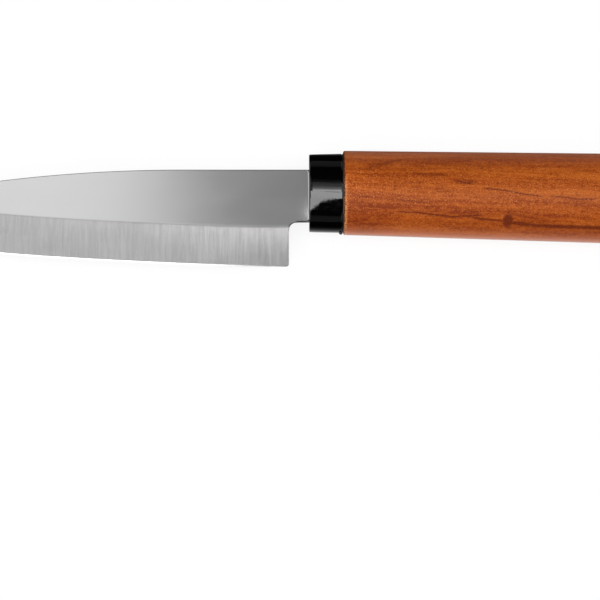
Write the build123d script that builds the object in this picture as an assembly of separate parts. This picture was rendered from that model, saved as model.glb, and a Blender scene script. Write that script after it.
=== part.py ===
from build123d import *
import os
from math import hypot, radians, tan

# A small kitchen knife with a hidden tang, lying on its side. Millimetres.
# +X runs along the knife to the butt, +Y up to the spine, +Z square out of the blade.
# Sizes count from the ferrule's front face, on the ferrule's axis. At the end the knife
# moves as a whole, so that its origin lies under the middle of its box.

# Blade, a stamped blank with ground bevels.
blade_length = 98.0
blade_height = 23.4
blade_thickness = 1.5
spine_rise = 5.65
neck_length = 4.6
neck_height = 12.65
neck_gap = 0.15
neck_corner = 0.6
choil_radius = 1.8
heel_radius = 0.55
blank_chamfer = 0.15

# Bevels: the wide one, and the narrow one that carries the edge.
bevel_height = 9.5
micro_height = 0.25
micro_thickness = 0.34
apex_thickness = 0.04
bevel_runout = 0.1

# Where the spine and the edge bend, from heel to tip: along the blade, then off the
# straight spine or up from the edge at the heel, as shares of its length and height.
spine_shares = [(0.262, 0.0), (0.703, 0.117), (0.877, 0.265)]
edge_shares = [(0.224, 0.019), (0.530, 0.083), (0.703, 0.136), (0.867, 0.254)]
tip_share = 0.5

# Tang, inside the ferrule and the grip, pressed a little thinner than the blade.
tang_length = 70.0
tang_thickness = 1.4
tang_root_height = 8.0
tang_end_height = 5.0
tang_end_radius = 1.5
notch_radius = 0.8
notch_start = 16.0
notch_pitch = 14.0
notch_pairs = 4

# Ferrule, a moulded cap with a slot for the tang.
ferrule_length = 8.0
ferrule_front_height = 18.7
ferrule_front_width = 15.35
ferrule_rear_height = 19.0
ferrule_rear_width = 15.55
ferrule_wall = 1.4
ferrule_front_rounding = 0.3
ferrule_rear_rounding = 0.5

# Grip, one piece of wood with a tenon in the ferrule and a bored hole for the tang.
grip_length = 104.0
grip_front_height = 20.2
grip_front_width = 16.8
grip_front_lift = 0.13
grip_butt_height = 22.4
grip_butt_width = 18.6
grip_butt_drop = 2.14
grip_front_rounding = 0.45
grip_butt_rounding = 1.6

# Fits.
slot_clearance = 0.2
bore_clearance = 0.4
bore_spare = 4.0
drill_angle = 118.0
bond_gap = 0.2
joint_gap = 0.1
bead_inset = 0.12
overrun = 2.0

# Places that follow from the sizes.
neck_end_x = -neck_gap
heel_x = neck_end_x - neck_length
tip_x = heel_x - blade_length
heel_edge_y = spine_rise - blade_height
tip_y = heel_edge_y + tip_share * blade_height
tenon_x = ferrule_wall + bond_gap
shoulder_x = ferrule_length + joint_gap
butt_x = shoulder_x + grip_length
cavity_height = ferrule_rear_height - 2 * ferrule_wall
cavity_width = ferrule_rear_width - 2 * ferrule_wall
bore_radius = hypot(tang_root_height, tang_thickness) / 2 + bore_clearance
bore_end_x = tang_length + bore_spare


def oval(x, y, height, width):
    """An ellipse across the knife, at x, with its middle y above the axis."""
    across = Plane(origin=(x, y, 0), x_dir=(0, 1, 0), z_dir=(1, 0, 0))
    return across * Ellipse(height / 2, width / 2)


def arc_chain(points, direction):
    """Arcs through the points, each leaving the way the one before it arrived."""
    arcs = []
    for start, end in zip(points, points[1:]):
        arc = TangentArc(start, end, tangent=direction)
        arcs.append(arc)
        direction = arc % 1
    return arcs


def corner_near(sketch, x, y):
    """The outline's corner nearest to a place."""
    return sketch.vertices().sort_by_distance((x, y, 0))[0]


def spine_arcs():
    points = [(heel_x - s * blade_length, spine_rise - d * blade_height) for s, d in spine_shares]
    return arc_chain([*points, (tip_x, tip_y)], (-1, 0, 0))


def edge_arcs():
    points = [(heel_x - s * blade_length, heel_edge_y + r * blade_height) for s, r in edge_shares]
    return arc_chain([(heel_x, heel_edge_y), *points, (tip_x, tip_y)], (-1, 0, 0))


def blank():
    """Blade and neck before grinding, with all outer edges broken."""
    neck_low_y = spine_rise - neck_height
    spine = spine_arcs()
    edge = edge_arcs()
    straights = [
        Line((neck_end_x, spine_rise), spine[0] @ 0),
        Line((heel_x, heel_edge_y), (heel_x, neck_low_y)),
        Line((heel_x, neck_low_y), (neck_end_x, neck_low_y)),
        Line((neck_end_x, neck_low_y), (neck_end_x, spine_rise)),
    ]
    side = make_face([*spine, *edge, *straights])
    side = fillet(corner_near(side, heel_x, neck_low_y), choil_radius)
    side = fillet(corner_near(side, heel_x, heel_edge_y), heel_radius)
    side = chamfer(corner_near(side, neck_end_x, spine_rise), neck_corner)
    side = chamfer(corner_near(side, neck_end_x, neck_low_y), neck_corner)
    plate = extrude(side, amount=blade_thickness / 2, both=True)
    flats = plate.faces().sort_by(Axis.Z)
    return chamfer([*flats[0].edges(), *flats[-1].edges()], blank_chamfer)


def bevel_cutter():
    """What grinding takes off the +Z face, swept along the edge from heel to tip."""
    edge = edge_arcs()
    lead_in = Line((heel_x + overrun, heel_edge_y), (heel_x, heel_edge_y))
    run_off = Line((tip_x, tip_y), edge[-1] @ 1 + (edge[-1] % 1) * overrun)
    path = Wire([lead_in, *edge, run_off])
    flat_z = blade_thickness / 2
    slope = (bevel_height - micro_height) / (flat_z - micro_thickness / 2)
    over_z = flat_z + bevel_runout
    over_y = bevel_height + bevel_runout * slope
    section = [
        (over_y, over_z),
        (micro_height, micro_thickness / 2),
        (0, apex_thickness / 2),
        (-overrun, apex_thickness / 2),
        (-overrun, flat_z + overrun),
        (over_y, flat_z + overrun),
    ]
    across = Plane(origin=(heel_x + overrun, heel_edge_y, 0), x_dir=(0, 1, 0), z_dir=(1, 0, 0))
    return sweep(across * make_face(Polyline(*section, close=True)), path)


def tang():
    """The narrow stem that the resin holds, notched along both its edges."""
    root_x = heel_x + choil_radius
    root_y = tang_root_height / 2
    end_y = tang_end_height / 2
    side = make_face(Polyline(
        (root_x, root_y),
        (tang_length, end_y),
        (tang_length, -end_y),
        (root_x, -root_y),
        close=True,
    ))
    side = fillet(corner_near(side, tang_length, end_y), tang_end_radius)
    side = fillet(corner_near(side, tang_length, -end_y), tang_end_radius)
    fall = (root_y - end_y) / (tang_length - root_x)
    for index in range(notch_pairs):
        notch_x = notch_start + index * notch_pitch
        notch_y = root_y - (notch_x - root_x) * fall
        side -= Pos(notch_x, notch_y) * Circle(notch_radius)
        side -= Pos(notch_x, -notch_y) * Circle(notch_radius)
    return extrude(side, amount=tang_thickness / 2, both=True)


def make_blade():
    cutter = bevel_cutter()
    return blank() - cutter - mirror(cutter, about=Plane.XY) + tang()


def make_cavity():
    """The ferrule's socket for the grip's tenon."""
    mouth = oval(ferrule_wall, 0, cavity_height, cavity_width)
    return extrude(mouth, amount=ferrule_length - ferrule_wall)


def make_slot():
    """The tang's way through the ferrule's front wall."""
    height = tang_root_height + 2 * slot_clearance
    width = tang_thickness + 2 * slot_clearance
    across = Plane(origin=(0, 0, 0), x_dir=(0, 1, 0), z_dir=(1, 0, 0))
    return extrude(across * Rectangle(height, width), amount=ferrule_wall)


def make_ferrule():
    body = loft([
        oval(0, 0, ferrule_front_height, ferrule_front_width),
        oval(ferrule_length, 0, ferrule_rear_height, ferrule_rear_width),
    ])
    body = fillet(body.faces().sort_by(Axis.X)[0].edges(), ferrule_front_rounding)
    body = fillet(body.faces().sort_by(Axis.X)[-1].edges(), ferrule_rear_rounding)
    return body - make_cavity() - make_slot()


def make_bore():
    """The hole for the tang, from the ferrule's front wall to the drill's point."""
    across = Plane(origin=(ferrule_wall, 0, 0), x_dir=(0, 1, 0), z_dir=(1, 0, 0))
    hole = extrude(across * Circle(bore_radius), amount=bore_end_x - ferrule_wall)
    point_length = bore_radius / tan(radians(drill_angle / 2))
    point_plane = Plane(
        origin=(bore_end_x + point_length / 2, 0, 0), x_dir=(0, 1, 0), z_dir=(1, 0, 0)
    )
    return hole + point_plane * Cone(bore_radius, 0, point_length)


def make_grip():
    body = loft([
        oval(shoulder_x, grip_front_lift, grip_front_height, grip_front_width),
        oval(butt_x, -grip_butt_drop, grip_butt_height, grip_butt_width),
    ])
    body = fillet(body.faces().sort_by(Axis.X)[0].edges(), grip_front_rounding)
    body = fillet(body.faces().sort_by(Axis.X)[-1].edges(), grip_butt_rounding)
    tenon_end = oval(
        tenon_x, 0, cavity_height - 2 * bond_gap, cavity_width - 2 * bond_gap
    )
    tenon = extrude(tenon_end, amount=shoulder_x + overrun - tenon_x)
    return body + tenon - make_bore()


def make_tang_adhesive(blade):
    """Resin that fills the bore and the slot round the tang."""
    return make_bore() + make_slot() - blade


def make_ferrule_adhesive(ferrule, grip):
    """Resin between the tenon and its socket, and in the joint round the ferrule."""
    bead_height = ferrule_rear_height - 2 * bead_inset
    bead_width = ferrule_rear_width - 2 * bead_inset
    bead_x = ferrule_length - ferrule_rear_rounding
    bead = extrude(oval(bead_x, 0, bead_height, bead_width), amount=shoulder_x - bead_x)
    return make_cavity() + bead - ferrule - grip - make_bore()


blade = make_blade()
ferrule = make_ferrule()
grip = make_grip()
pieces = {
    "blade": blade,
    "ferrule": ferrule,
    "grip": grip,
    "tang_adhesive": make_tang_adhesive(blade),
    "ferrule_adhesive": make_ferrule_adhesive(ferrule, grip),
}

whole = Compound(list(pieces.values())).bounding_box()
to_origin = Pos(-whole.center().X, -whole.center().Y, -whole.min.Z)
os.makedirs("parts", exist_ok=True)
for name, piece in pieces.items():
    placed = to_origin * piece
    placed.label = name
    export_step(placed, f"parts/{name}.step")
print("knife", whole.size, "moved by", to_origin.position)
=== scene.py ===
import math

import bmesh
import bpy
from bpy.props import FloatProperty, FloatVectorProperty, PointerProperty
from mathutils import Matrix, Vector, geometry, noise


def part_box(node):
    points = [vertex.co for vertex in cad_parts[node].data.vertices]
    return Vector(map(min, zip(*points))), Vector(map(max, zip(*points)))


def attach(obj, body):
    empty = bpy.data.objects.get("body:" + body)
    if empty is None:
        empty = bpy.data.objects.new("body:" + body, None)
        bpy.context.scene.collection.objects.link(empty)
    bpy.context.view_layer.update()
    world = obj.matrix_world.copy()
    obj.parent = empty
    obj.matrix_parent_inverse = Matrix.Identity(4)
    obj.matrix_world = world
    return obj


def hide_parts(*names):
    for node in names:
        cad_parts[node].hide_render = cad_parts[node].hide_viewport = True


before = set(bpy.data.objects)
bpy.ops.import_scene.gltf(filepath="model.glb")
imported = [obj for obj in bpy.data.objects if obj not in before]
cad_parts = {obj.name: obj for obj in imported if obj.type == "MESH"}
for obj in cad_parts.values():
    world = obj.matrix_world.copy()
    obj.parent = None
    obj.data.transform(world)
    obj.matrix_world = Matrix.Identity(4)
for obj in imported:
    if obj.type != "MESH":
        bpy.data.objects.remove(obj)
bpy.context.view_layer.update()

bl_info = {
    "name": "Paring Knife",
    "version": (1, 0, 0),
    "blender": (4, 5, 0),
    "location": "3D View > Sidebar > Knife",
    "description": "Models and finishes a small kitchen knife round its packed parts",
    "category": "Add Mesh",
}

# Lengths are in metres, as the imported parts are. +X runs to the butt, +Y up to the spine
# and +Z square out of the blade's face, away from the floor.
MM = 0.001
MERGE = 1e-7
WHITE = (1.0, 1.0, 1.0, 1.0)

blade_low, blade_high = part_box("blade")
ferrule_low, ferrule_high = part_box("ferrule")
grip_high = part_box("grip")[1]
ferrule_y = (ferrule_low.y + ferrule_high.y) / 2
blade_z = (ferrule_low.z + ferrule_high.z) / 2
joint_gap = 0.1 * MM


def length(name, description, default):
    """A size that the sidebar shows in the scene's units."""
    return FloatProperty(
        name=name, description=description, default=default, subtype="DISTANCE", unit="LENGTH"
    )


def angle(name, description, degrees):
    return FloatProperty(
        name=name, description=description, default=math.radians(degrees), subtype="ANGLE"
    )


def share(name, description, default):
    return FloatProperty(
        name=name, description=description, default=default, min=0.0, max=1.0, subtype="FACTOR"
    )


def colour(name, description, default):
    return FloatVectorProperty(
        name=name, description=description, default=default, size=3, min=0.0, max=1.0,
        subtype="COLOR",
    )


class BladeSettings(bpy.types.PropertyGroup):
    thickness: length("Thickness", "Thickness of the blank", 1.5 * MM)
    neck_gap: length("Neck gap", "Gap between the neck and the ferrule", 0.04 * MM)
    neck_length: length("Neck length", "From the heel to the neck's end", 4.71 * MM)
    neck_height: length("Neck height", "From the spine to the neck's lower side", 12.65 * MM)
    neck_corner: length("Neck corner", "Corner cut off at the neck's end", 0.55 * MM)
    choil_radius: length("Choil radius", "Rounding between the heel and the neck", 1.8 * MM)
    heel_radius: length("Heel radius", "Rounding of the edge's end", 0.75 * MM)
    neck_lip: length("Neck lip", "Burr raised along the neck's end", 0.022 * MM)
    neck_lip_length: length("Neck lip length", "Width of that burr", 0.15 * MM)
    chamfer: length("Chamfer", "Broken edge all round the blank", 0.15 * MM)
    chamfer_softness: length("Chamfer softness", "Rounding where it meets the flat", 0.012 * MM)
    bevel_height: length("Bevel height", "Height of the ground bevel", 9.5 * MM)
    hollow: length("Hollow", "Depth that the grinding wheel leaves in the bevel", 0.05 * MM)
    ridge_softness: length("Ridge softness", "Half width of the rounded bevel line", 0.6 * MM)
    micro_height: length("Edge bevel height", "Height of the narrow bevel", 0.25 * MM)
    micro_thickness: length("Edge bevel thickness", "Thickness over the narrow bevel", 0.34 * MM)
    apex_thickness: length("Apex thickness", "Thickness of the cutting edge", 0.04 * MM)
    steel: colour("Steel", "Colour of the polished steel", (0.60, 0.60, 0.605))
    ground_steel: colour("Ground steel", "Colour of the ground bevels", (0.522, 0.515, 0.517))
    # Near black: painted shade for the shadowed floor that the stamped walls mirror.
    shaded_wall_steel: colour("Sheared steel", "Colour of the stamped walls", (0.045, 0.045, 0.045))
    flat_roughness: share("Flat roughness", "Roughness of the flats", 0.16)
    bevel_roughness: share("Bevel roughness", "Roughness of the ground bevels", 0.16)


class FerruleSettings(bpy.types.PropertyGroup):
    crown: length("Crown", "How far the front of the cap is drawn in", 0.035 * MM)
    crown_length: length("Crown length", "Length over which it is drawn in", 3.0 * MM)
    rear_rounding: length("Rear rounding", "Rounding at the grip's end", 0.5 * MM)
    plastic: colour("Plastic", "Colour of the moulded cap", (0.0004, 0.0004, 0.0005))
    roughness: share("Roughness", "Roughness of the moulded cap", 0.03)


class GripSettings(bpy.types.PropertyGroup):
    front_height: length("Front height", "Height of the oval at the ferrule", 20.2 * MM)
    front_width: length("Front width", "Width of the oval at the ferrule", 16.8 * MM)
    front_lift: length("Front lift", "How far its middle lies over the axis", 0.13 * MM)
    front_rounding: length("Front rounding", "Broken edge at the ferrule", 0.45 * MM)
    butt_height: length("Butt height", "Height of the oval at the butt", 22.4 * MM)
    butt_width: length("Butt width", "Width of the oval at the butt", 18.6 * MM)
    butt_drop: length("Butt drop", "How far its middle lies under the axis", 2.14 * MM)
    butt_rounding: length("Butt rounding", "Rounding round the butt", 1.6 * MM)
    waver: length("Waver", "Unevenness that sanding leaves", 0.05 * MM)
    wood: colour("Wood", "Main colour of the wood", (0.255, 0.049, 0.0035))
    pale_wood: colour("Pale wood", "Colour of the palest layers", (0.36, 0.086, 0.010))
    dark_wood: colour("Dark wood", "Colour of the darkest layers", (0.15, 0.021, 0.001))
    streak: colour("Streak", "Colour of the dark streaks", (0.10, 0.013, 0.001))
    # Pale colour for the painted glints in the specks, and for the worn front edge with its
    # painted highlight.
    glint_and_worn_wood: colour("Worn wood", "Colour of specks and the worn front", (0.52, 0.21, 0.075))
    # Pale pink along the lower and upper rims: a painted reflection of the bright floor.
    rim_sheen_wood: colour("Milky lacquer", "Colour of the thick lacquer below", (0.72, 0.30, 0.19))
    roughness: share("Roughness", "Roughness of the lacquer", 0.5)


class ResinSettings(bpy.types.PropertyGroup):
    bead_radius: length("Bead radius", "Thickness of the bead in the joint", 0.16 * MM)
    nub_radius: length("Nub radius", "Size of the drop squeezed out under the ferrule", 0.34 * MM)
    # The seam is a dark block that fills the gap and the cut corners at the neck's end.
    seam_thickness: length("Seam thickness", "Thickness of the resin at the neck", 1.2 * MM)
    resin: colour("Resin", "Colour of the cured resin", (0.012, 0.011, 0.010))


class StudioSettings(bpy.types.PropertyGroup):
    camera_distance: length("Camera distance", "From the ferrule to the camera", 0.30)
    camera_tilt: angle("Camera tilt", "How far the camera leans to the edge's side", 9.5)
    floor_size: length("Floor size", "Side of the square floor", 60.0)
    floor: colour("Floor", "Colour of the floor", (0.82, 0.82, 0.82))
    floor_glow: share("Floor glow", "Share of the floor that shows plain white", 0.88)


class Signal:
    """A value in a node tree. A sum that is written with it adds its Math node."""

    def __init__(self, paint, socket):
        self.paint = paint
        self.socket = socket

    def __add__(self, other):
        return self.paint.math("ADD", self, other)

    __radd__ = __add__

    def __sub__(self, other):
        return self.paint.math("SUBTRACT", self, other)

    def __rsub__(self, other):
        return self.paint.math("SUBTRACT", other, self)

    def __mul__(self, other):
        return self.paint.math("MULTIPLY", self, other)

    __rmul__ = __mul__

    def __truediv__(self, other):
        return self.paint.math("DIVIDE", self, other)

    def __rtruediv__(self, other):
        return self.paint.math("DIVIDE", other, self)

    def __pow__(self, other):
        return self.paint.math("POWER", self, other)

    def __abs__(self):
        return self.paint.math("ABSOLUTE", self, 0.0)


class Paint:
    """A node tree that is written as expressions."""

    def __init__(self, owner):
        owner.use_nodes = True
        self.tree = owner.node_tree
        self.tree.nodes.clear()

    def node(self, kind, settings, values):
        """Any node: its type, its settings, then the values or links of its sockets."""
        made = self.tree.nodes.new("ShaderNode" + kind)
        for name, value in settings.items():
            setattr(made, name, value)
        for key, value in values.items():
            if isinstance(value, Signal):
                self.tree.links.new(value.socket, made.inputs[key])
            else:
                made.inputs[key].default_value = value
        return made

    def signal(self, kind, settings, values, output=0):
        return Signal(self, self.node(kind, settings, values).outputs[output])

    def math(self, operation, first, second):
        return self.signal("Math", {"operation": operation}, {0: first, 1: second})

    def lesser(self, first, second):
        return self.math("MINIMUM", first, second)

    def greater(self, first, second):
        return self.math("MAXIMUM", first, second)

    def rise(self, value, start, end):
        """0 before start, 1 after end, and smooth between them."""
        values = {"Value": value, "From Min": start, "From Max": end}
        return self.signal("MapRange", {"interpolation_type": "SMOOTHSTEP"}, values)

    def hill(self, value, middle, half_width):
        """1 at the middle, falling smoothly to 0 on both sides."""
        return 1 - self.rise(abs(value - middle), 0.0, half_width)

    def blend(self, factor, first, second):
        """A mix of two colours, which are the Mix node's sockets 6 and 7."""
        values = {0: factor, 6: first, 7: second}
        return self.signal("Mix", {"data_type": "RGBA"}, values, output=2)

    def cloud(self, place, per_mm, detail=2.0, roughness=0.5):
        """Soft noise, mostly between 0.3 and 0.7. per_mm says how fast it changes along
        x, y and z: 1 gives clouds about a millimetre across."""
        scaled = {i: part * rate for i, (part, rate) in enumerate(zip(place, per_mm))}
        spot = self.signal("CombineXYZ", {}, scaled)
        values = {"Vector": spot, "Scale": 1.0, "Detail": detail, "Roughness": roughness}
        return self.signal("TexNoise", {}, values)

    def varied(self, value, *patterns):
        """A value that each pattern raises and lowers by its weight."""
        for pattern, weight in patterns:
            value = value + (pattern - 0.5) * weight
        return value

    def parts(self, vector):
        split = self.node("SeparateXYZ", {}, {0: vector})
        return [Signal(self, split.outputs[i]) for i in range(3)]

    def millimetres(self):
        """The place on the knife, in millimetres, as three values."""
        place = self.signal("TexCoord", {}, {}, output="Object")
        scale = (1 / MM, 1 / MM, 1 / MM)
        place = self.signal("VectorMath", {"operation": "MULTIPLY"}, {0: place, 1: scale})
        return self.parts(place)

    def bump(self, height, depth, under=None):
        """A normal for a surface whose height, from 0 to 1, stands for a depth."""
        values = {"Height": height, "Distance": depth, "Strength": 1.0}
        if under is not None:
            values["Normal"] = under
        return self.signal("Bump", {}, values)

    def glow(self, strength):
        return self.signal("Emission", {}, {"Color": WHITE, "Strength": strength})

    def mixed(self, factor, first, second):
        """A mix of two shaders."""
        return self.signal("MixShader", {}, {0: factor, 1: first, 2: second})

    def finish(self, values):
        """The surface of the material, ready for the piece."""
        shader = self.node("BsdfPrincipled", {}, values)
        self.node("OutputMaterial", {}, {"Surface": Signal(self, shader.outputs[0])})


def opaque(rgb):
    return (*rgb, 1.0)


def shade_of(rgb, share_left):
    """A darker shade: the share of a colour's light that is left."""
    return opaque([part * share_left for part in rgb])


def tint_of(rgb, added):
    """A paler tint, greyed by the light that is added."""
    return opaque([part + added for part in rgb])


def new_material(name):
    material = bpy.data.materials.new(name)
    return material, Paint(material)


def steel_material(settings, ground):
    """Polished flats, or bevels with the fine marks of the grinding wheel across them."""
    material, paint = new_material("ground_steel" if ground else "polished_steel")
    place = paint.millimetres()
    ripple = paint.cloud(place, (0.12, 0.16, 1.0), detail=1.0)
    smear = paint.cloud(place, (0.07, 0.2, 1.0), detail=3.0)
    if ground:
        marks = paint.cloud(place, (1.5, 0.10, 1.0), detail=4.0, roughness=0.75)
        height = marks * 0.7 + ripple * 0.3
        depth = 0.0022 * MM
        tone = paint.varied(0.86, (marks, 1.0), (smear, 0.4))
        roughness = settings.bevel_roughness - 0.03 + marks * 0.06
        steel = settings.ground_steel
    else:
        lines = paint.cloud(place, (0.05, 6.0, 1.0), roughness=0.6)
        height = lines * 0.04 + ripple
        depth = 0.004 * MM
        tone = paint.varied(0.98, (lines, 0.1), (smear, 0.2))
        roughness = settings.flat_roughness - 0.02 + smear * 0.04
        steel = settings.steel
    paint.finish({
        "Base Color": paint.blend(tone, shade_of(steel, 0.6), opaque(steel)),
        "Metallic": 1.0,
        "Roughness": roughness,
        "Normal": paint.bump(height, depth),
    })
    return material


def shaded_wall_material(settings):
    """The dull walls that stamping leaves round the heel and the neck, painted near black: painted
    shade for the shadowed floor that they mirror.
    """
    material, paint = new_material("shaded_wall_steel")
    tears = paint.cloud(paint.millimetres(), (6.0, 6.0, 1.5), detail=3.0, roughness=0.6)
    shaded_steel = settings.shaded_wall_steel
    paint.finish({
        "Base Color": paint.blend(tears, shade_of(shaded_steel, 0.6), opaque(shaded_steel)),
        "Metallic": 1.0,
        "Roughness": 0.35 + tears * 0.2,
        "Normal": paint.bump(tears, 0.01 * MM),
    })
    return material


def plastic_material(settings):
    """Glossy black moulding with a faint skin and a few specks."""
    material, paint = new_material("moulded_plastic")
    place = paint.millimetres()
    skin = paint.cloud(place, (0.9, 0.9, 0.9))
    grains = paint.cloud(place, (4.0, 4.0, 4.0), roughness=0.6)
    specks = paint.rise(grains, 0.64, 0.72)
    normal = paint.bump(skin, 0.003 * MM)
    normal = paint.bump(grains - specks, 0.0012 * MM, under=normal)
    plastic = settings.plastic
    paint.finish({
        "Base Color": paint.blend(specks, opaque(plastic), tint_of(plastic, 0.002)),
        "Roughness": settings.roughness + specks * 0.2,
        "IOR": 1.52,
        "Normal": normal,
    })
    return material


def resin_material(settings):
    """Dark resin that has set with small lumps."""
    material, paint = new_material("cured_resin")
    lumps = paint.cloud(paint.millimetres(), (2.0, 2.0, 2.0))
    paint.finish({
        "Base Color": paint.blend(lumps, opaque(settings.resin), tint_of(settings.resin, 0.01)),
        "Roughness": 0.25 + lumps * 0.2,
        "Normal": paint.bump(lumps, 0.03 * MM),
    })
    return material


# Dark streaks on the side that faces up: half width, strength and the places that each one
# runs through. In millimetres, counted from the ferrule's axis at the joint.
wood_streaks = [
    (0.35, 0.6, [(5.7, 4.05), (9.4, 5.33), (14.0, 6.63)]),
    (0.25, 0.6, [(16.1, 2.53), (20.7, 2.6), (23.7, 2.09)]),
    (0.35, 0.75, [(26.0, 0.86), (27.5, 0.44), (29.8, 0.03)]),
    (0.3, 0.3, [(21.7, -0.91), (23.6, -1.24)]),
    (0.25, 0.8, [(32.5, -1.03), (35.9, -1.36), (39.3, -1.82), (41.2, -2.33), (45.5, -2.92)]),
    (0.28, 0.6, [(47.7, -2.74), (52.3, -3.39), (55.7, -3.63), (58.8, -3.41)]),
    (0.3, 0.9, [(12.6, -6.11), (17.6, -6.34), (20.7, -6.77), (25.3, -7.2), (31.8, -7.01)]),
    (0.38, 0.85, [(30.0, -7.5), (36.9, -8.13)]),
    (0.55, 1.0, [(38.8, -8.44), (44.7, -9.07), (50.5, -9.34), (61.0, -9.71)]),
    (0.45, 0.4, [(36.8, -6.68), (39.8, -6.87), (43.3, -7.56), (45.3, -7.76)]),
    (0.3, 0.4, [(2.2, -3.13), (6.0, -2.61)]),
    (0.3, 0.3, [(11.8, -3.72), (18.3, -3.95)]),
]
# Broad darker places: middle x and y, half length, half height, strength.
wood_shades = [
    (6.0, -7.6, 9.0, 3.6, 0.55),
    (28.0, 6.9, 5.5, 1.3, 0.35),
    (46.0, 7.0, 17.0, 2.2, 0.25),
    (20.0, 5.2, 7.0, 2.2, 0.3),
    (7.7, 4.7, 4.0, 1.1, 0.5),
    (20.8, 2.4, 4.0, 0.8, 0.4),
    (28.3, 0.5, 2.8, 0.7, 0.6),
    (27.0, -6.9, 6.0, 1.1, 0.5),
    (44.7, -7.8, 8.0, 1.2, 0.5),
    (48.7, 2.2, 4.0, 0.7, 0.3),
    (31.0, -8.2, 26.0, 2.0, 0.25),
]
knot_x = 38.2
knot_y = -8.04
knot_radius = 1.3
# How far the layers part before and behind the knot, against over and under it.
knot_stretch = 2.6


def streak_mask(paint, x, across, streaks):
    """Dark lines that run through their places, with a faint halo, and fade at both ends."""
    fade = 1.0
    halo = 0.22
    halo_width = 3.5
    total = None
    for half_width, strength, places in streaks:
        middle = places[0][1]
        slope = 0.0
        for (x0, y0), (x1, y1) in zip(places, places[1:]):
            turn = (y1 - y0) / (x1 - x0) - slope
            slope += turn
            middle = paint.greater(x - x0, 0.0) * turn + middle
        start = places[0][0]
        end = places[-1][0]
        begun = paint.rise(x, start - fade, start + fade)
        ended = paint.rise(x, end - fade, end + fade)
        off = across - middle
        line = paint.hill(off, 0.0, half_width)
        line = line + halo * paint.hill(off, 0.0, half_width * halo_width)
        mark = line * (begun * (1 - ended)) * strength
        total = mark if total is None else paint.greater(total, mark)
    return total


def shade_mask(paint, x, y, shades):
    """Soft oval shades, each dark inside and gone a little outside its oval."""
    total = None
    for middle_x, middle_y, half_length, half_height, strength in shades:
        along = (x - middle_x) / half_length
        over = (y - middle_y) / half_height
        mark = (1 - paint.rise(along * along + over * over, 0.1, 1.3)) * strength
        total = mark if total is None else paint.greater(total, mark)
    return total


def parted_by_knot(paint, x, y, upper):
    """Heights across the grain, which the knot pushes apart on the upper side."""
    from_x = (x - knot_x) / knot_stretch
    from_y = y - knot_y
    distance = paint.greater(from_x * from_x + from_y * from_y, 1.0)
    return from_y * (1 - knot_radius * knot_radius * upper / (distance + 0.6)) + knot_y


def knot_mask(paint, x, y, fray):
    """The knot's core, a little higher than long, with a frayed outline."""
    from_x = x - knot_x
    from_y = y - knot_y
    off = (from_x * from_x + from_y * from_y * 0.8) ** 0.5 * (1 + fray)
    return 1 - paint.rise(off, knot_radius * 0.65, knot_radius * 1.15)


def lowness(settings, x, y):
    """How low a place is on the grip: 1 on its lower outline and -1 on its upper one."""
    grip_length = grip_high.x - ferrule_high.x
    drop = (settings.front_lift + settings.butt_drop) / grip_length
    growth = (settings.butt_height - settings.front_height) / 2 / grip_length
    half_height = settings.front_height / MM / 2 + x * growth
    return (settings.front_lift / MM - y - x * drop) / half_height


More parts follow.
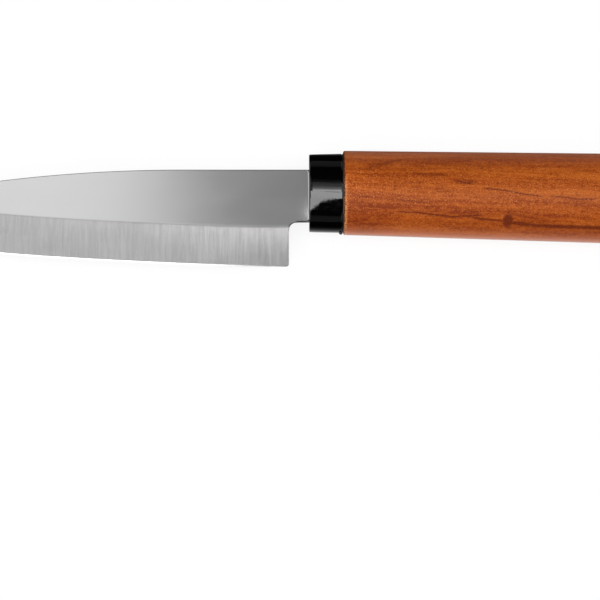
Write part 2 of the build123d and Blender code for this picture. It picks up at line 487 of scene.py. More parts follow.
def wood_material(settings):
    """Lacquered reddish wood: growth layers, fibres, pores, dark streaks and a small knot."""
    material, paint = new_material("lacquered_wood")
    x, y, z = paint.millimetres()
    x = x - ferrule_high.x / MM
    y = y - ferrule_y / MM
    z = z - blade_z / MM
    place = (x, y, z)
    upper = paint.rise(z, 0.0, 2.0)

    # The layers slope down towards the butt, waver, and part round the knot.
    slope = 0.06
    sway = paint.cloud(place, (0.05, 0.12, 0.12)) - 0.5
    fray = paint.cloud(place, (0.5, 1.2, 1.2)) - 0.5
    across = parted_by_knot(paint, x, y, upper) + x * slope + sway * 3.0 + fray * 0.25
    along = (x, across, z)
    layers = paint.cloud(along, (0.022, 0.42, 0.30), detail=3.0, roughness=0.6)
    bands = paint.cloud(along, (0.03, 1.5, 1.2), roughness=0.6)
    fibres = paint.cloud(along, (0.25, 5.0, 5.0), detail=3.0, roughness=0.65)
    grains = paint.cloud(along, (2.2, 3.6, 3.6), detail=3.0, roughness=0.7)
    mottle = paint.cloud(along, (0.9, 1.6, 1.6), roughness=0.6)
    dots = paint.cloud(place, (3.4, 3.4, 3.4), roughness=0.7)
    pores = paint.rise(paint.cloud(along, (0.9, 7.0, 7.0), detail=1.0), 0.62, 0.72)
    shades = shade_mask(paint, x, y + fray, wood_shades) * upper

    # A tone over 0 is paler than the main colour, and one under 0 is darker. The hill a little
    # above the middle is a painted highlight.
    full_tone = 0.55
    tone = paint.hill(y, 1.0, 5.0) * 0.16 - shades * 0.55
    tone = paint.varied(tone, (layers, 1.8), (bands, 1.0), (mottle, 1.2), (fibres, 0.6))
    tone = paint.varied(tone, (grains, 1.5), (dots, 1.6))
    pale = paint.rise(tone, 0.0, full_tone)
    dark = paint.rise(0 - tone, 0.0, full_tone)
    dark_wood = opaque(settings.dark_wood)
    wood = paint.blend(pale, opaque(settings.wood), opaque(settings.pale_wood))
    wood = paint.blend(dark, wood, dark_wood)
    wood = paint.blend(pores * 0.55, wood, dark_wood)

    # The streaks and the knot are on the upper side. The far side has streaks of its own.
    streaks = streak_mask(paint, x, y + fray * 0.5, wood_streaks)
    far_streaks = paint.rise(layers * 0.6 + bands * 0.4, 0.60, 0.68) * (1 - upper)
    marks = paint.greater(streaks * upper * (0.6 + fibres * 0.8), far_streaks * 0.7)
    marks = paint.greater(marks, knot_mask(paint, x, y, fray) * upper)
    wood = paint.blend(paint.lesser(marks, 1.0), wood, opaque(settings.streak))

    # The lacquer is thin, and its specks shine in the coat. The pale specks in the colour are
    # painted glints, thickest a little above the middle and near the ferrule, where the highlight
    # falls.
    # Along the edge at the ferrule the pale colour is worn lacquer and also a painted highlight.
    middle = 1 - paint.rise(abs(y + 0.3 + x * 0.02), 1.5, 8.0)
    middle = middle * (1 + paint.hill(x, 0.0, 14.0) * 0.5)
    specks = paint.rise(dots, 0.56, 0.74) * (0.35 + middle * 0.65)
    worn = (1 - paint.rise(x, 0.6, 1.1)) * paint.rise(dots, 0.38, 0.6)
    worn = worn * (1 - paint.rise(y, -1.0, 5.0))
    painted_glints_and_wear = paint.greater(specks * 0.55, worn * 0.8)
    wood = paint.blend(painted_glints_and_wear, wood, opaque(settings.glint_and_worn_wood))

    # Painted reflection: the colour turns pale pink along the lower and the upper outline, where
    # the rims mirror the bright floor. The coat is also stronger along the lower outline.
    low = lowness(settings, x, y)
    lower_rim = paint.greater(low, 0.0) ** 24.0
    raised = paint.greater(0 - low, 0.0) ** 5.0
    painted_rim_sheen = paint.greater(lower_rim * 0.55, raised * 0.35)
    wood = paint.blend(painted_rim_sheen, wood, opaque(settings.rim_sheen_wood))

    # A near-black band with a jagged edge runs along the wood next to the ferrule.
    dark_front_band = 1 - paint.rise(x + (dots - 0.5) * 1.4, 0.15, 0.4)
    wood = paint.blend(dark_front_band * 0.95, wood, opaque((0.004, 0.003, 0.003)))
    relief = fibres * 0.4 + grains * 0.6 - pores * 0.5
    paint.finish({
        "Base Color": wood,
        "Roughness": paint.varied(settings.roughness, (grains, 0.3)),
        "Specular IOR Level": 0.1,
        "Coat Weight": 0.12 + specks * 0.25 + lower_rim * 0.6,
        "Coat IOR": 1.22,
        "Coat Roughness": 0.3,
        "Normal": paint.bump(relief, 0.035 * MM),
    })
    return material


# A turn, in radians, under which an arc is a straight line.
STRAIGHT = 1e-7


def arc_through(start, heading, end, count):
    """Points and headings along the arc that leaves start one way and arrives at end."""
    chord = end - start
    left = Vector((-heading.y, heading.x))
    turn = 2 * math.atan2(chord.dot(left), chord.dot(heading))
    steps = []
    for step in range(1, count + 1):
        part = turn * step / count
        if abs(turn) > STRAIGHT:
            reach = chord.length * math.sin(part / 2) / math.sin(turn / 2)
        else:
            reach = chord.length * step / count
        aim = heading.copy()
        aim.rotate(Matrix.Rotation(part / 2, 2))
        facing = heading.copy()
        facing.rotate(Matrix.Rotation(part, 2))
        steps.append((start + aim * reach, facing))
    return steps


def arc_chain(points, heading, spacing):
    """One smooth line through the points, made of arcs, as points with headings."""
    line = [(points[0], heading)]
    for end in points[1:]:
        start, heading = line[-1]
        count = max(1, round((end - start).length / spacing))
        line += arc_through(start, heading, end, count)
    return line


# Where the spine and the edge bend, from heel to tip: along the blade, then off the
# straight spine or up from the edge at the heel, as shares of its length and height.
spine_shares = [(0.262, 0.0), (0.703, 0.117), (0.877, 0.265)]
edge_shares = [(0.224, 0.019), (0.530, 0.083), (0.703, 0.136), (0.867, 0.254)]
tip_share = 0.5
outline_step = 0.5 * MM

# The blade's face is a grid: rows along the edge, and columns across the blade, one at
# every third place of the edge. The rows lie close together on the cutting edge, over the
# narrow bevel, inside the outline and under the neck's lower side, and the columns do so
# inside the outline.
apex_steps = [0.0, 0.08 * MM, 0.16 * MM]
micro_steps = [0.0, 0.05 * MM, 0.25 * MM]
rim_steps = [0.0, 0.05 * MM, 0.1 * MM, 0.15 * MM, 0.2 * MM, 0.25 * MM, 0.5 * MM]
choil_steps = [0.45 * MM, 0.25 * MM, 0.12 * MM, 0.05 * MM]
bevel_rows = 9
ridge_rows = 8
flat_rows = 5
neck_columns = 5
column_step = 3


def lesser_softly(first, second, reach):
    """The smaller of two heights, rounded where they cross."""
    overlap = max(reach - abs(first - second), 0.0) / reach
    return min(first, second) - overlap * overlap * reach / 4


def spread(start, end, count):
    """Values at even steps from start to end, without the start."""
    return [start + (end - start) * step / count for step in range(1, count + 1)]


class BladeShape:
    """The ground blank's upper half: where it ends and how high each place of it is."""

    def __init__(self, settings):
        self.size = settings
        self.neck_x = ferrule_low.x - settings.neck_gap
        self.heel_x = self.neck_x - settings.neck_length
        self.length = self.heel_x - blade_low.x
        self.height = blade_high.y - blade_low.y
        self.neck_row = self.height - settings.neck_height
        self.half = settings.thickness / 2
        self.rim = self.half - settings.chamfer

    def outline(self, shares, start_y, way):
        """Points and headings from heel to tip, for shares that count up or down from y."""
        places = [
            Vector((self.heel_x - along * self.length, start_y + way * off * self.height))
            for along, off in shares
        ]
        return arc_chain(places, Vector((-1.0, 0.0)), outline_step)

    def spine(self):
        shares = [(0.0, 0.0), *spine_shares, (1.0, 1.0 - tip_share)]
        return [place for place, _ in self.outline(shares, blade_high.y, -1)]

    def edge(self):
        return self.outline([(0.0, 0.0), *edge_shares, (1.0, tip_share)], blade_low.y, 1)

    def columns(self):
        """Places along the edge from tip to heel, each with its way in and its reach."""
        spine = self.spine()
        edge = self.edge()
        keep = [*range(column_step, len(edge), column_step), len(edge) - 1]
        made = []
        for index in reversed(keep):
            place, heading = edge[index]
            inward = Vector((heading.y, -heading.x))
            made.append((place, inward, self.reach(place, inward, spine)))
        return made

    def reach(self, place, inward, spine):
        """How far the spine is from a place on the edge, square to the edge."""
        far = place + inward * self.height * 2
        for start, end in zip(spine, spine[1:]):
            hit = geometry.intersect_line_line_2d(place, far, start, end)
            if hit is not None:
                return (hit - place).length
        return 0.0

    def rows(self, reach):
        """Distances from the edge at which the surface has a line of points."""
        size = self.size
        ridge_start = size.bevel_height - size.ridge_softness
        ridge_end = size.bevel_height + size.ridge_softness
        rows = [*apex_steps, *[size.micro_height + step for step in micro_steps]]
        rows.append(size.heel_radius)
        rows += spread(size.heel_radius, ridge_start, bevel_rows)
        rows += spread(ridge_start, ridge_end, ridge_rows)
        rows += [self.neck_row - step for step in choil_steps]
        rows += [self.neck_row + step for step in rim_steps]
        upper = max(reach - rim_steps[-1], 0.0)
        rows = [min(row, upper) for row in rows]
        rows += spread(rows[-1], upper, flat_rows)[:-1]
        rows += [max(reach - step, 0.0) for step in reversed(rim_steps)]
        return rows

    def half_thickness(self, row, inside):
        """Half the blade's thickness, at a distance from the edge and from the outline."""
        size = self.size
        apex = size.apex_thickness / 2
        micro = size.micro_thickness / 2
        width = size.bevel_height - size.micro_height
        if row < size.micro_height:
            ground = apex + (micro - apex) * row / size.micro_height
        else:
            part = (row - size.micro_height) / width
            bow = 4 * part * (1 - part)
            ground = micro + (self.half - micro) * part - size.hollow * bow
        slope = (self.half - micro) / width
        surface = lesser_softly(ground, self.half, slope * size.ridge_softness)
        return lesser_softly(surface, self.rim + inside, size.chamfer_softness)

    def heel_end(self, row):
        """Where the heel, with its roundings, ends at a distance from the edge."""
        size = self.size
        low = size.heel_radius - row
        if low > 0:
            return self.heel_x - size.heel_radius + math.sqrt(size.heel_radius ** 2 - low ** 2)
        high = min(row, self.neck_row) - (self.neck_row - size.choil_radius)
        if high > 0:
            bow = math.sqrt(max(size.choil_radius ** 2 - high ** 2, 0.0))
            return self.heel_x + size.choil_radius - bow
        return self.heel_x

    def neck_end(self, row):
        corner = self.size.neck_corner
        cut = max(corner - (self.height - row), corner - (row - self.neck_row), 0.0)
        return self.neck_x - cut


def shape_half(shape):
    """The blade's upper face, from a grid with one column across each place of the edge."""
    columns = shape.columns()
    lip_length = shape.size.neck_lip_length
    heel_first = len(columns)
    neck_first = heel_first + len(rim_steps)
    total = neck_first + neck_columns + len(rim_steps)
    straight = shape.rows(shape.height)
    neck_index = straight.index(shape.neck_row)
    bm = bmesh.new()
    bmesh.ops.create_grid(bm, x_segments=total - 1, y_segments=len(straight) - 1, size=1.0)
    for vert in bm.verts:
        i = round((vert.co.x + 1) / 2 * (total - 1))
        j = round((vert.co.y + 1) / 2 * (len(straight) - 1))
        row = straight[j]
        over = shape.height - row
        lip = 0.0
        if i < heel_first:
            place, inward, reach = columns[i]
            row = shape.rows(reach)[j]
            spot = place + inward * row
            inside = reach - row
        elif i < neck_first:
            step = rim_steps[neck_first - 1 - i]
            spot = Vector((shape.heel_end(row) - step, blade_low.y + row))
            inside = min(step, over) if j < neck_index else over
        else:
            start = shape.heel_x + shape.size.choil_radius
            end = shape.neck_end(row)
            count = i - neck_first + 1
            if count <= neck_columns:
                x = start + (end - rim_steps[-1] - start) * count / (neck_columns + 1)
            else:
                x = end - rim_steps[total - 1 - i]
            spot = Vector((x, blade_low.y + row))
            inside = max(min(over, row - shape.neck_row), 0.0)
            lip = max(1 - (end - x) / lip_length, 0.0) * shape.size.neck_lip
        vert.co = (spot.x, spot.y, shape.half_thickness(row, inside) + lip)
        vert.tag = j < neck_index and i >= neck_first
    notch = [face for face in bm.faces if any(vert.tag for vert in face.verts)]
    bmesh.ops.delete(bm, geom=notch, context="FACES")
    bmesh.ops.remove_doubles(bm, verts=bm.verts, dist=MERGE)
    return bm


def make_blade(settings):
    """Both faces of the blade, joined by a wall all round, and the hidden tang."""
    shape = BladeShape(settings)
    bm = shape_half(shape)
    everything = [*bm.verts, *bm.edges, *bm.faces]
    bmesh.ops.mirror(bm, geom=everything, merge_dist=0.0, axis="Z")
    bmesh.ops.translate(bm, verts=bm.verts, vec=(0.0, 0.0, blade_z))
    rims = [edge for edge in bm.edges if edge.is_boundary]
    bmesh.ops.bridge_loops(bm, edges=rims)
    bmesh.ops.recalc_face_normals(bm, faces=bm.faces)

    overlap = 0.1 * MM
    tang = merged_copy("blade")
    cut_across(tang, shape.neck_x - overlap, clear_inner=True)
    bmesh.ops.holes_fill(tang, edges=tang.edges)
    bmesh.ops.recalc_face_normals(tang, faces=tang.faces)
    stem = bpy.data.meshes.new("stem")
    tang.to_mesh(stem)
    tang.free()
    bm.from_mesh(stem)
    bpy.data.meshes.remove(stem)
    return bm


def draw_in(vert, y, share_left):
    """Move a point nearer to the line along the knife that lies at a height y."""
    vert.co.y = y + (vert.co.y - y) * share_left
    vert.co.z = blade_z + (vert.co.z - blade_z) * share_left


def edges_between(bm, verts):
    """The edges that join a ring's points."""
    ring = set(verts)
    return [edge for edge in bm.edges if ring.issuperset(edge.verts)]


def merged_copy(node):
    """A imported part's surface with its loose triangles joined."""
    bm = bmesh.new()
    bm.from_mesh(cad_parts[node].data)
    bmesh.ops.remove_doubles(bm, verts=bm.verts, dist=MERGE)
    return bm


def cut_across(bm, x, clear_inner=False):
    """Cut the mesh with a plane across the knife, and clear what lies in front if asked."""
    geom = [*bm.verts, *bm.edges, *bm.faces]
    bmesh.ops.bisect_plane(
        bm, geom=geom, dist=MERGE, plane_co=(x, 0, 0), plane_no=(1, 0, 0),
        clear_inner=clear_inner,
    )


def make_ferrule(settings):
    """The cap, drawn in a little towards its front as mouldings are."""
    bm = merged_copy("ferrule")
    cuts = 8
    before_rounding = 0.05 * MM
    for x in spread(ferrule_low.x, ferrule_low.x + settings.crown_length, cuts):
        cut_across(bm, x)
    cut_across(bm, ferrule_high.x - settings.rear_rounding - before_rounding)
    height = (ferrule_high.y - ferrule_low.y) / 2
    width = (ferrule_high.z - ferrule_low.z) / 2
    # Points nearer to the axis, as a share of the outline, belong to the slot and socket.
    outside_from = 0.9
    for vert in bm.verts:
        side = Vector(((vert.co.y - ferrule_y) / height, (vert.co.z - blade_z) / width))
        depth = max(1 - (vert.co.x - ferrule_low.x) / settings.crown_length, 0.0)
        if side.length > outside_from:
            draw_in(vert, ferrule_y, 1 - settings.crown * depth * depth / height)
    return bm


def oval_ring(bm, x, y, height, width, segments):
    """An oval of points across the knife. Returns its edges."""
    place = Matrix.Translation((x, y, blade_z)) @ Matrix.Rotation(math.pi / 2, 4, "Y")
    place = place @ Matrix.Diagonal((width / 2, height / 2, 1.0, 1.0))
    made = bmesh.ops.create_circle(
        bm, cap_ends=False, segments=segments, radius=1.0, matrix=place
    )
    return edges_between(bm, made["verts"])


def make_grip(settings):
    """The handle, lofted from oval rings that waver a little, with rounded ends."""
    bm = bmesh.new()
    rings = 28
    segments = 128
    rounding_segments = 6
    swells_per_metre = Vector((22.0, 60.0, 60.0))
    front = ferrule_high.x + joint_gap
    butt = grip_high.x
    made = []
    for index in range(rings + 1):
        part = index / rings
        x = front + (butt - front) * part
        y = ferrule_y + settings.front_lift * (1 - part) - settings.butt_drop * part
        height = settings.front_height + (settings.butt_height - settings.front_height) * part
        width = settings.front_width + (settings.butt_width - settings.front_width) * part
        ring = oval_ring(bm, x, y, height, width, segments)
        for vert in {vert for edge in ring for vert in edge.verts}:
            swell = noise.noise(vert.co * swells_per_metre)
            draw_in(vert, y, 1 - settings.waver * (1 + swell) / width)
        made.append(ring)
    for near, far in zip(made, made[1:]):
        bmesh.ops.bridge_loops(bm, edges=[*near, *far])
    ends = [(made[0], settings.front_rounding), (made[-1], settings.butt_rounding)]
    for ring, rounding in ends:
        bmesh.ops.edgeloop_fill(bm, edges=ring)
        bmesh.ops.bevel(
            bm, geom=ring, offset=rounding, affect="EDGES", segments=rounding_segments,
            profile=0.5, material=-1,
        )
    bmesh.ops.recalc_face_normals(bm, faces=bm.faces)
    return bm


def add_seam(bm, shape, thickness):
    """A dark block between the neck and the ferrule, as far as the neck's cut corners."""
    low = blade_low.y + shape.neck_row
    high = blade_high.y
    corner = shape.size.neck_corner
    outline = [
        (ferrule_low.x, low),
        (ferrule_low.x, high),
        (shape.neck_x - corner, high),
        (shape.neck_x, high - corner),
        (shape.neck_x, low + corner),
        (shape.neck_x - corner, low),
    ]
    verts = [bm.verts.new((x, y, blade_z - thickness / 2)) for x, y in outline]
    face = bm.faces.new(verts)
    made = bmesh.ops.extrude_face_region(bm, geom=[face], use_keep_orig=True)
    raised = [item for item in made["geom"] if isinstance(item, bmesh.types.BMVert)]
    bmesh.ops.translate(bm, verts=raised, vec=(0.0, 0.0, thickness))


def add_drop(bm, radius):
    """The drop squeezed out under the ferrule, a little longer and wider than high."""
    before_joint = 0.5 * MM
    below = 0.2 * MM
    stretch = (1.3, 1.0, 1.6, 1.0)
    place = (ferrule_high.x - before_joint, ferrule_low.y - below, blade_z)
    drop = Matrix.Translation(place) @ Matrix.Diagonal(stretch)
    bmesh.ops.create_icosphere(bm, subdivisions=3, radius=radius, matrix=drop)


def make_bead(settings, shape):
    """The uneven ring of resin in the joint, with the drop below and the neck's seam."""
    bm = bmesh.new()
    inset = 0.22 * MM
    into_joint = 0.02 * MM
    steps = 220
    segments = 8
    radius = (ferrule_high.y - ferrule_low.y) / 2 - inset
    squash = ((ferrule_high.z - ferrule_low.z) / 2 - inset) / radius
    joint_x = ferrule_high.x + into_joint
    section = bmesh.ops.create_circle(
        bm, cap_ends=False, segments=segments, radius=settings.bead_radius,
        matrix=Matrix.Translation((joint_x, radius, 0.0)),
    )
    rim = [*section["verts"], *edges_between(bm, section["verts"])]
    bmesh.ops.spin(
        bm, geom=rim, cent=(0, 0, 0), axis=(1, 0, 0), angle=2 * math.pi, steps=steps,
        use_merge=True,
    )
    unevenness = 0.7
    lumps_per_metre = 1.9 / MM
    grains_per_metre = 4.3 / MM
    for vert in bm.verts:
        swell = noise.noise(vert.co * lumps_per_metre)
        swell += 0.5 * noise.noise(vert.co * grains_per_metre)
        ring = Vector((0.0, vert.co.y, vert.co.z)).normalized() * radius
        middle = Vector((joint_x, ring.y, ring.z))
        vert.co = middle + (vert.co - middle) * (1 + unevenness * swell)
        vert.co.z *= squash
    bmesh.ops.translate(bm, verts=bm.verts, vec=(0.0, ferrule_y, blade_z))
    add_drop(bm, settings.nub_radius)
    add_seam(bm, shape, settings.seam_thickness)
    bmesh.ops.remove_doubles(bm, verts=bm.verts, dist=MERGE)
    bmesh.ops.recalc_face_normals(bm, faces=bm.faces)
    return bm


def add_object(name, data):
    """A new object at the origin, unturned and unscaled."""
    made = bpy.data.objects.new(name, data)
    bpy.context.scene.collection.objects.link(made)
    return made


def show(bm, name, materials, sharp_degrees):
    """A finished piece from a bmesh, smooth but for its sharp edges."""
    for edge in bm.edges:
        edge.smooth = edge.calc_face_angle(0.0) < math.radians(sharp_degrees)
    mesh = bpy.data.meshes.new(name)
    bm.to_mesh(mesh)
    bm.free()
    for material in materials:
        mesh.materials.append(material)
    mesh.shade_smooth()
    piece = add_object(name, mesh)
    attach(piece, "root")
    return piece


# The photograph is a square of so many pixels, and shows the ferrule's front face, on its
# axis, at this one.
PHOTO_SIZE = 600
ferrule_px = (309.0, 193.4)
pixels_per_metre = 4.2 / MM


def make_camera(settings):
    """A camera that sees the knife where the photograph has it."""
    data = bpy.data.cameras.new("camera")
    camera = add_object("camera", data)
    bpy.context.scene.camera = camera
    distance = settings.camera_distance
    data.sensor_width = 36.0
    data.lens = data.sensor_width * distance * pixels_per_metre / PHOTO_SIZE
    data.clip_start = 0.01
    data.clip_end = 100.0
    seen = Vector((
        (ferrule_px[0] - PHOTO_SIZE / 2) / pixels_per_metre,
        (PHOTO_SIZE / 2 - ferrule_px[1]) / pixels_per_metre,
        -distance,
    ))
    turn = Matrix.Rotation(settings.camera_tilt, 3, "X")
    target = Vector((ferrule_low.x, ferrule_y, blade_z))
    camera.rotation_euler = (settings.camera_tilt, 0.0, 0.0)
    camera.location = target - turn @ seen
    return camera


def make_floor(settings):
    """A pale floor. In mirrored rays it is white only under the knife, and fades beside it."""
    bm = bmesh.new()
    bmesh.ops.create_grid(bm, x_segments=1, y_segments=1, size=settings.floor_size / 2)
    mesh = bpy.data.meshes.new("floor")
    bm.to_mesh(mesh)
    bm.free()
    material, paint = new_material("pale_floor")
    path = paint.node("LightPath", {}, {})
    mirrored = paint.greater(
        Signal(paint, path.outputs["Is Glossy Ray"]),
        Signal(paint, path.outputs["Is Transmission Ray"]),
    )
    seen = Signal(paint, path.outputs["Is Camera Ray"])
    scattered = Signal(paint, path.outputs["Is Diffuse Ray"])
    matt = paint.signal("BsdfDiffuse", {}, {"Color": opaque(settings.floor)})
    plain = paint.glow(1.0)
    unlit = paint.glow(0.002)
    bright = paint.glow(1.6)

    # Millimetres from the white stretch. It reaches from a little over the knife's axis to
    # well under it, and widens downwards with the grip.
    x, y, z = paint.millimetres()
    reach = 4.5
    low = paint.greater(x - ferrule_high.x / MM, 0.0) * 0.031 + 2.5
    off = paint.greater(abs(y + low - ferrule_y / MM) - low - reach, 0.0)
    near = paint.math("POWER", math.e, 0 - (off / 8.2) ** 1.5)
    wide = paint.math("POWER", math.e, 0 - off / 60.0)

    # Scattered rays find it bright near the knife, which lights the grip from below.
    surface = paint.mixed(seen * settings.floor_glow, matt, plain)
    surface = paint.mixed(scattered * wide, surface, bright)
    surface = paint.mixed(mirrored, surface, paint.mixed(near, unlit, plain))
    paint.node("OutputMaterial", {}, {"Surface": surface})
    mesh.materials.append(material)
    floor = add_object("floor", mesh)
    return floor


def make_world():
    """A dim studio, as the steel mirrors it. Degrees count from straight up: lean towards
    the spine's side, left towards the tip."""
    world = bpy.data.worlds.new("studio")
    bpy.context.scene.world = world
    paint = Paint(world)
    x, y, z = paint.parts(paint.signal("TexCoord", {}, {}, output="Generated"))
    to_degrees = 180 / math.pi
    lean = paint.math("ARCTAN2", y, z) * to_degrees
    left = paint.math("ARCTAN2", 0 - x, z) * to_degrees

    # Over the knife: a glow that fades towards the spine's side, its faint far edge, and
    # one in the place of the key's left part. All fade to the left and right.
    fall = (lean + 2.0) / 16.3
    over = 0.55 * paint.math("POWER", math.e, 0 - fall * fall) * paint.rise(lean, -20.0, -12.0)
    far_edge = 0.25 * paint.hill(lean, 18.5, 5.0)
    key_glow = 0.68 * paint.hill(lean, 0.0, 10.5) * paint.rise(left, 0.5, 5.5)
    over = (over + far_edge + key_glow) * (1 - paint.rise(abs(left), 22.0, 38.0))

    # On the left: a band that the flats mirror towards the tip, and the bevel's upper line.
    beside = paint.lesser(paint.greater((left - 3.9) / 3.7, 0.0), 1.0)
    beside = beside * (1 - paint.rise(left, 50.0, 70.0))
    band = 0.88 * paint.rise(lean, 6.0, 12.0) * (1 - paint.rise(lean, 30.0, 45.0))
    beside = beside * (band + 0.25 * paint.hill(lean, 8.8, 2.4))

    # On the edge's side, low and to the left: what the narrow bevel mirrors.
    below = 2.0 * paint.rise(left, 7.5, 10.5) * paint.hill(lean, -51.0, 14.0)

    # Low walls, dimmest straight across the knife, keep the steel from turning black.
    low = paint.rise(z, 0.46, 0.32)
    turned = paint.math("ARCTAN2", abs(x), abs(y)) * to_degrees
    path = paint.node("LightPath", {}, {})
    mirrored = Signal(paint, path.outputs["Is Glossy Ray"])
    walls = 0.9 * low * (paint.rise(turned, 6.0, 30.0) + 0.15) * mirrored
    strength = 0.004 + over + beside + below + walls
    shade = paint.signal("Background", {}, {"Color": WHITE, "Strength": strength})
    paint.node("OutputWorld", {}, {"Surface": shade})


# A square metre of a flat lamp needs so many watts for a radiance of 1, which looks white.
WATTS_PER_RADIANCE = 4.0


def make_softbox(name, place, aim, size, radiance):
    """A flat rectangular lamp that faces a point, unseen by the camera."""
    data = bpy.data.lights.new(name, "AREA")
    data.shape = "RECTANGLE"
    data.size, data.size_y = size
    data.energy = radiance * size[0] * size[1] * WATTS_PER_RADIANCE
    lamp = add_object(name, data)
    way = Vector(aim) - Vector(place)
    facing = way.to_track_quat("-Z", "Y").to_matrix().to_4x4()
    lamp.matrix_world = Matrix.Translation(place) @ facing
    lamp.visible_camera = False
    return lamp


# The lamps over the knife: how far away they hang, and how bright they are.
lamp_distance = 0.9
lamp_radiance = 4.7


def hang(name, lean, left, right, height):
    """A lamp over the knife, from one x to another. It leans to the spine's side."""
    lean = math.radians(lean)
    x = (left + right) / 2
    place = Vector((x, math.sin(lean) * lamp_distance, math.cos(lean) * lamp_distance))
    return make_softbox(name, place, (x, 0, 0), (right - left, height), lamp_radiance)


def make_key():
    """The main softbox, in two parts. From straight above, mirrored rays would find the
    left one in the whole blade, so they don't see it, and the world glows in its place."""
    half_width = 0.45
    parted = -0.09
    height = 0.255
    lean = -8.5
    hang("key", lean, parted, half_width, height)
    lamp = hang("key_left", lean, -half_width, parted, height)
    lamp.visible_glossy = False


def make_wings():
    """The key's lower left, in narrow lamps whose right ends draw back along a line."""
    count = 12
    step = 2.7
    key_end = -16.6
    left = -0.515
    right = 0.001
    back_per_degree = 0.0016
    for index in range(count):
        down = step * (index + 0.5)
        height = lamp_distance * math.radians(step)
        hang("wing", key_end - down, left, right - back_per_degree * down, height)


def make_right_card():
    """A dimmer softbox beyond the butt, which faces the knife."""
    place = (0.6, 0.05, 0.55)
    make_softbox("right_card", place, (0, 0, 0), size=(0.5, 0.7), radiance=2.6)


def make_sheets():
    """Narrow sheets close over the ferrule, which fade out towards the spine's side. Their
    edges and the fade are in millimetres, off its axis."""
    edges = [-1.5, -0.14, 0.4, 1.0, 1.7, 2.6, 3.8, 5.4, 7.6]
    length = 8.4 * MM
    from_front = 4.5 * MM
    over_axis = 19.5 * MM
    faded_radiance = 2.5
    fade = 1.7
    for index, (start, end) in enumerate(zip(edges, edges[1:])):
        middle = (start + end) / 2
        radiance = lamp_radiance
        if index > 0:
            radiance = faded_radiance * math.exp((edges[1] - middle) / fade)
        x = ferrule_low.x + from_front
        y = ferrule_y + middle * MM
        size = (length, (end - start) * MM)
        make_softbox("sheet", (x, y, blade_z + over_axis), (x, y, 0.0), size, radiance)


# How level a face of the blade is tells its finish, and how much it looks to the spine's
# side tells the spine from the stamped walls round the heel and the neck.
flattest_bevel = 0.9993
steepest_bevel = 0.9
steepest_chamfer = 0.8
spine_from = 0.5


class KNIFE_OT_blade(bpy.types.Operator):
    """Model the ground blade and give it its polished and ground steel"""
    bl_idname = "knife.blade"
    bl_label = "Blade"
    bl_options = {"REGISTER", "UNDO"}

    def execute(self, context):
        settings = context.scene.knife_blade
        materials = [
            steel_material(settings, False), steel_material(settings, True),
            shaded_wall_material(settings),
        ]
        piece = show(make_blade(settings), "knife_blade", materials, sharp_degrees=20)
        heel_x = BladeShape(settings).heel_x - settings.heel_radius
        for face in piece.data.polygons:
            level = abs(face.normal.z)
            bevelled = steepest_bevel < level < flattest_bevel
            if face.center.x < ferrule_low.x and bevelled:
                face.material_index = 1
            # Stamped walls and chamfers round the heel and the neck get the near-black steel,
            # which is painted shade.
            stamped = level < steepest_chamfer and face.normal.y < spine_from
            if face.center.x > heel_x and stamped:
                face.material_index = 2
        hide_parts("blade")
        return {"FINISHED"}


class KNIFE_OT_ferrule(bpy.types.Operator):
    """Draw in the moulded ferrule's front and give it its glossy plastic"""
    bl_idname = "knife.ferrule"
    bl_label = "Ferrule"
    bl_options = {"REGISTER", "UNDO"}

    def execute(self, context):
        settings = context.scene.knife_ferrule
        plastic = plastic_material(settings)
        piece = show(make_ferrule(settings), "moulded_ferrule", [plastic], sharp_degrees=35)
        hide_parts("ferrule")
        return {"FINISHED"}


class KNIFE_OT_grip(bpy.types.Operator):
    """Model the oval wooden grip and give it its lacquered wood"""
    bl_idname = "knife.grip"
    bl_label = "Grip"
    bl_options = {"REGISTER", "UNDO"}

    def execute(self, context):
        settings = context.scene.knife_grip
        wood = wood_material(settings)
        piece = show(make_grip(settings), "wooden_grip", [wood], sharp_degrees=40)
        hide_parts("grip")
        return {"FINISHED"}


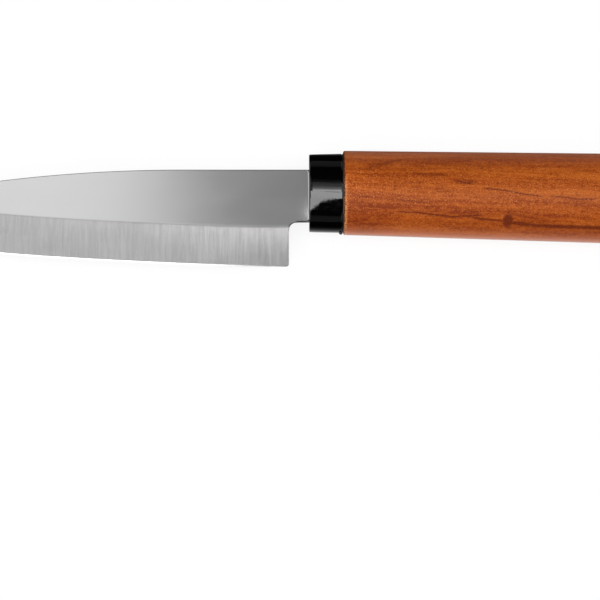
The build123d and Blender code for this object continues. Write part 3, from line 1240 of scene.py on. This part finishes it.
class KNIFE_OT_resin(bpy.types.Operator):
    """Fill the joint behind the ferrule and finish the resin round the tang"""
    bl_idname = "knife.resin"
    bl_label = "Resin"
    bl_options = {"REGISTER", "UNDO"}

    def execute(self, context):
        settings = context.scene.knife_resin
        resin = resin_material(settings)
        shape = BladeShape(context.scene.knife_blade)
        piece = show(make_bead(settings, shape), "joint_bead", [resin], sharp_degrees=60)
        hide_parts("ferrule_adhesive")
        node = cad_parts["tang_adhesive"]
        for slot in node.material_slots:
            slot.material = resin
        return {"FINISHED"}


class KNIFE_OT_studio(bpy.types.Operator):
    """Set up the camera, the pale floor and the soft lamps"""
    bl_idname = "knife.studio"
    bl_label = "Studio"
    bl_options = {"REGISTER", "UNDO"}

    def execute(self, context):
        settings = context.scene.knife_studio
        context.scene.view_settings.view_transform = "Standard"
        make_camera(settings)
        make_floor(settings)
        make_world()
        make_key()
        make_wings()
        make_right_card()
        make_sheets()
        return {"FINISHED"}


class KNIFE_PT_sidebar(bpy.types.Panel):
    """The knife's pieces and studio, in the order in which they are made"""
    bl_idname = "KNIFE_PT_sidebar"
    bl_label = "Paring Knife"
    bl_space_type = "VIEW_3D"
    bl_region_type = "UI"
    bl_category = "Knife"

    def draw(self, context):
        for operator, group in makers.items():
            box = self.layout.box()
            box.operator(operator)
            settings = getattr(context.scene, group)
            for name in settings.bl_rna.properties.keys():
                if name not in ("rna_type", "name"):
                    box.prop(settings, name)


makers = {
    "knife.studio": "knife_studio",
    "knife.blade": "knife_blade",
    "knife.ferrule": "knife_ferrule",
    "knife.resin": "knife_resin",
    "knife.grip": "knife_grip",
}
groups = {
    "knife_blade": BladeSettings,
    "knife_ferrule": FerruleSettings,
    "knife_grip": GripSettings,
    "knife_resin": ResinSettings,
    "knife_studio": StudioSettings,
}
classes = [
    *groups.values(),
    KNIFE_OT_blade,
    KNIFE_OT_ferrule,
    KNIFE_OT_grip,
    KNIFE_OT_resin,
    KNIFE_OT_studio,
    KNIFE_PT_sidebar,
]


def register():
    for item in classes:
        bpy.utils.register_class(item)
    for name, group in groups.items():
        setattr(bpy.types.Scene, name, PointerProperty(type=group))


def unregister():
    for name in groups:
        delattr(bpy.types.Scene, name)
    for item in reversed(classes):
        bpy.utils.unregister_class(item)


def main():
    register()
    bpy.ops.knife.studio()
    bpy.ops.knife.blade()
    bpy.ops.knife.ferrule()
    bpy.ops.knife.resin()
    bpy.ops.knife.grip()


if __name__ == "__main__":
    main()
